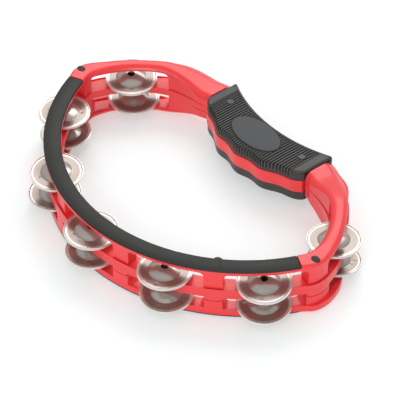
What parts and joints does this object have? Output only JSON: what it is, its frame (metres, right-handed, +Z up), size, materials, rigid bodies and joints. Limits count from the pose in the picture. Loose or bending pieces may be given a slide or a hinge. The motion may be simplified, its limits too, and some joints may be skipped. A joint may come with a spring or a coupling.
{
  "type": "tambourine",
  "caption": "Handheld half-moon tambourine: red frame with rubber bumpers, a ribbed black grip with finger hollows, and pairs of loose steel jingles in two rows",
  "frame": {"origin": "bottom centre of the bounding box, on the surface that the tambourine lies on", "axes": "X along the grip, from left to right; +Y from the striking edge to the grip; Z up, through the jingle pins"},
  "size_m": [0.3264, 0.2324, 0.053],
  "materials": {
    "red_abs": "satin",
    "black_rubber": "matte",
    "black_grip": "satin",
    "nickel_steel": "polished",
    "zinc_steel": "satin",
    "black_steel": "satin"
  },
  "bodies": {
    "frame": {"centre_ring": "red_abs", "upper_shell": "red_abs", "lower_shell": "red_abs", "upper_bumper": "black_rubber", "lower_bumper": "black_rubber", "upper_grip_cover": "black_grip", "lower_grip_cover": "black_grip", "upper_grip_badge": "black_grip", "lower_grip_badge": "black_grip", "upper_grip_screw_left": "black_steel", "upper_grip_screw_right": "black_steel", "lower_grip_screw_left": "black_steel", "lower_grip_screw_right": "black_steel", "upper_plug_left": "black_rubber", "upper_plug_right": "black_rubber", "lower_plug_left": "black_rubber", "lower_plug_right": "black_rubber", "corner_bolt_left": "zinc_steel", "corner_bolt_right": "zinc_steel", "corner_nut_left": "zinc_steel", "corner_nut_right": "zinc_steel"},
    "pin_1": {"pin_1": "nickel_steel"},
    "jingle_1_lower_base": {"jingle_1_lower_base": "nickel_steel"},
    "jingle_1_lower_cap": {"jingle_1_lower_cap": "nickel_steel"},
    "jingle_1_upper_base": {"jingle_1_upper_base": "nickel_steel"},
    "jingle_1_upper_cap": {"jingle_1_upper_cap": "nickel_steel"},
    "pin_2": {"pin_2": "nickel_steel"},
    "jingle_2_lower_base": {"jingle_2_lower_base": "nickel_steel"},
    "jingle_2_lower_cap": {"jingle_2_lower_cap": "nickel_steel"},
    "jingle_2_upper_base": {"jingle_2_upper_base": "nickel_steel"},
    "jingle_2_upper_cap": {"jingle_2_upper_cap": "nickel_steel"},
    "pin_3": {"pin_3": "nickel_steel"},
    "jingle_3_lower_base": {"jingle_3_lower_base": "nickel_steel"},
    "jingle_3_lower_cap": {"jingle_3_lower_cap": "nickel_steel"},
    "jingle_3_upper_base": {"jingle_3_upper_base": "nickel_steel"},
    "jingle_3_upper_cap": {"jingle_3_upper_cap": "nickel_steel"},
    "pin_4": {"pin_4": "nickel_steel"},
    "jingle_4_lower_base": {"jingle_4_lower_base": "nickel_steel"},
    "jingle_4_lower_cap": {"jingle_4_lower_cap": "nickel_steel"},
    "jingle_4_upper_base": {"jingle_4_upper_base": "nickel_steel"},
    "jingle_4_upper_cap": {"jingle_4_upper_cap": "nickel_steel"},
    "pin_5": {"pin_5": "nickel_steel"},
    "jingle_5_lower_base": {"jingle_5_lower_base": "nickel_steel"},
    "jingle_5_lower_cap": {"jingle_5_lower_cap": "nickel_steel"},
    "jingle_5_upper_base": {"jingle_5_upper_base": "nickel_steel"},
    "jingle_5_upper_cap": {"jingle_5_upper_cap": "nickel_steel"},
    "pin_6": {"pin_6": "nickel_steel"},
    "jingle_6_lower_base": {"jingle_6_lower_base": "nickel_steel"},
    "jingle_6_lower_cap": {"jingle_6_lower_cap": "nickel_steel"},
    "jingle_6_upper_base": {"jingle_6_upper_base": "nickel_steel"},
    "jingle_6_upper_cap": {"jingle_6_upper_cap": "nickel_steel"},
    "pin_7": {"pin_7": "nickel_steel"},
    "jingle_7_lower_base": {"jingle_7_lower_base": "nickel_steel"},
    "jingle_7_lower_cap": {"jingle_7_lower_cap": "nickel_steel"},
    "jingle_7_upper_base": {"jingle_7_upper_base": "nickel_steel"},
    "jingle_7_upper_cap": {"jingle_7_upper_cap": "nickel_steel"}
  },
  "joints": [
    {"name": "pin_1_spin", "type": "hinge", "parent": "frame", "child": "pin_1", "pos_m": [-0.13739, 0.05428, 0.0265], "axis": [0, 0, 1], "continuous": true},
    {"name": "jingle_1_lower_base_slide", "type": "slide", "parent": "pin_1", "child": "jingle_1_lower_base", "axis": [0, 0, 1], "range_m": [0, 0.003]},
    {"name": "jingle_1_lower_cap_slide", "type": "slide", "parent": "jingle_1_lower_base", "child": "jingle_1_lower_cap", "axis": [0, 0, 1], "range_m": [0, 0.003]},
    {"name": "jingle_1_upper_base_slide", "type": "slide", "parent": "pin_1", "child": "jingle_1_upper_base", "axis": [0, 0, 1], "range_m": [0, 0.003]},
    {"name": "jingle_1_upper_cap_slide", "type": "slide", "parent": "jingle_1_upper_base", "child": "jingle_1_upper_cap", "axis": [0, 0, 1], "range_m": [0, 0.003]},
    {"name": "pin_2_spin", "type": "hinge", "parent": "frame", "child": "pin_2", "pos_m": [-0.13598, -0.02166, 0.0265], "axis": [0, 0, 1], "continuous": true},
    {"name": "jingle_2_lower_base_slide", "type": "slide", "parent": "pin_2", "child": "jingle_2_lower_base", "axis": [0, 0, 1], "range_m": [0, 0.003]},
    {"name": "jingle_2_lower_cap_slide", "type": "slide", "parent": "jingle_2_lower_base", "child": "jingle_2_lower_cap", "axis": [0, 0, 1], "range_m": [0, 0.003]},
    {"name": "jingle_2_upper_base_slide", "type": "slide", "parent": "pin_2", "child": "jingle_2_upper_base", "axis": [0, 0, 1], "range_m": [0, 0.003]},
    {"name": "jingle_2_upper_cap_slide", "type": "slide", "parent": "jingle_2_upper_base", "child": "jingle_2_upper_cap", "axis": [0, 0, 1], "range_m": [0, 0.003]},
    {"name": "pin_3_spin", "type": "hinge", "parent": "frame", "child": "pin_3", "pos_m": [-0.07683, -0.07422, 0.0265], "axis": [0, 0, 1], "continuous": true},
    {"name": "jingle_3_lower_base_slide", "type": "slide", "parent": "pin_3", "child": "jingle_3_lower_base", "axis": [0, 0, 1], "range_m": [0, 0.003]},
    {"name": "jingle_3_lower_cap_slide", "type": "slide", "parent": "jingle_3_lower_base", "child": "jingle_3_lower_cap", "axis": [0, 0, 1], "range_m": [0, 0.003]},
    {"name": "jingle_3_upper_base_slide", "type": "slide", "parent": "pin_3", "child": "jingle_3_upper_base", "axis": [0, 0, 1], "range_m": [0, 0.003]},
    {"name": "jingle_3_upper_cap_slide", "type": "slide", "parent": "jingle_3_upper_base", "child": "jingle_3_upper_cap", "axis": [0, 0, 1], "range_m": [0, 0.003]},
    {"name": "pin_4_spin", "type": "hinge", "parent": "frame", "child": "pin_4", "pos_m": [0, -0.0932, 0.0265], "axis": [0, 0, 1], "continuous": true},
    {"name": "jingle_4_lower_base_slide", "type": "slide", "parent": "pin_4", "child": "jingle_4_lower_base", "axis": [0, 0, 1], "range_m": [0, 0.003]},
    {"name": "jingle_4_lower_cap_slide", "type": "slide", "parent": "jingle_4_lower_base", "child": "jingle_4_lower_cap", "axis": [0, 0, 1], "range_m": [0, 0.003]},
    {"name": "jingle_4_upper_base_slide", "type": "slide", "parent": "pin_4", "child": "jingle_4_upper_base", "axis": [0, 0, 1], "range_m": [0, 0.003]},
    {"name": "jingle_4_upper_cap_slide", "type": "slide", "parent": "jingle_4_upper_base", "child": "jingle_4_upper_cap", "axis": [0, 0, 1], "range_m": [0, 0.003]},
    {"name": "pin_5_spin", "type": "hinge", "parent": "frame", "child": "pin_5", "pos_m": [0.07683, -0.07422, 0.0265], "axis": [0, 0, 1], "continuous": true},
    {"name": "jingle_5_lower_base_slide", "type": "slide", "parent": "pin_5", "child": "jingle_5_lower_base", "axis": [0, 0, 1], "range_m": [0, 0.003]},
    {"name": "jingle_5_lower_cap_slide", "type": "slide", "parent": "jingle_5_lower_base", "child": "jingle_5_lower_cap", "axis": [0, 0, 1], "range_m": [0, 0.003]},
    {"name": "jingle_5_upper_base_slide", "type": "slide", "parent": "pin_5", "child": "jingle_5_upper_base", "axis": [0, 0, 1], "range_m": [0, 0.003]},
    {"name": "jingle_5_upper_cap_slide", "type": "slide", "parent": "jingle_5_upper_base", "child": "jingle_5_upper_cap", "axis": [0, 0, 1], "range_m": [0, 0.003]},
    {"name": "pin_6_spin", "type": "hinge", "parent": "frame", "child": "pin_6", "pos_m": [0.13598, -0.02166, 0.0265], "axis": [0, 0, 1], "continuous": true},
    {"name": "jingle_6_lower_base_slide", "type": "slide", "parent": "pin_6", "child": "jingle_6_lower_base", "axis": [0, 0, 1], "range_m": [0, 0.003]},
    {"name": "jingle_6_lower_cap_slide", "type": "slide", "parent": "jingle_6_lower_base", "child": "jingle_6_lower_cap", "axis": [0, 0, 1], "range_m": [0, 0.003]},
    {"name": "jingle_6_upper_base_slide", "type": "slide", "parent": "pin_6", "child": "jingle_6_upper_base", "axis": [0, 0, 1], "range_m": [0, 0.003]},
    {"name": "jingle_6_upper_cap_slide", "type": "slide", "parent": "jingle_6_upper_base", "child": "jingle_6_upper_cap", "axis": [0, 0, 1], "range_m": [0, 0.003]},
    {"name": "pin_7_spin", "type": "hinge", "parent": "frame", "child": "pin_7", "pos_m": [0.13739, 0.05428, 0.0265], "axis": [0, 0, 1], "continuous": true},
    {"name": "jingle_7_lower_base_slide", "type": "slide", "parent": "pin_7", "child": "jingle_7_lower_base", "axis": [0, 0, 1], "range_m": [0, 0.003]},
    {"name": "jingle_7_lower_cap_slide", "type": "slide", "parent": "jingle_7_lower_base", "child": "jingle_7_lower_cap", "axis": [0, 0, 1], "range_m": [0, 0.003]},
    {"name": "jingle_7_upper_base_slide", "type": "slide", "parent": "pin_7", "child": "jingle_7_upper_base", "axis": [0, 0, 1], "range_m": [0, 0.003]},
    {"name": "jingle_7_upper_cap_slide", "type": "slide", "parent": "jingle_7_upper_base", "child": "jingle_7_upper_cap", "axis": [0, 0, 1], "range_m": [0, 0.003]}
  ]
}
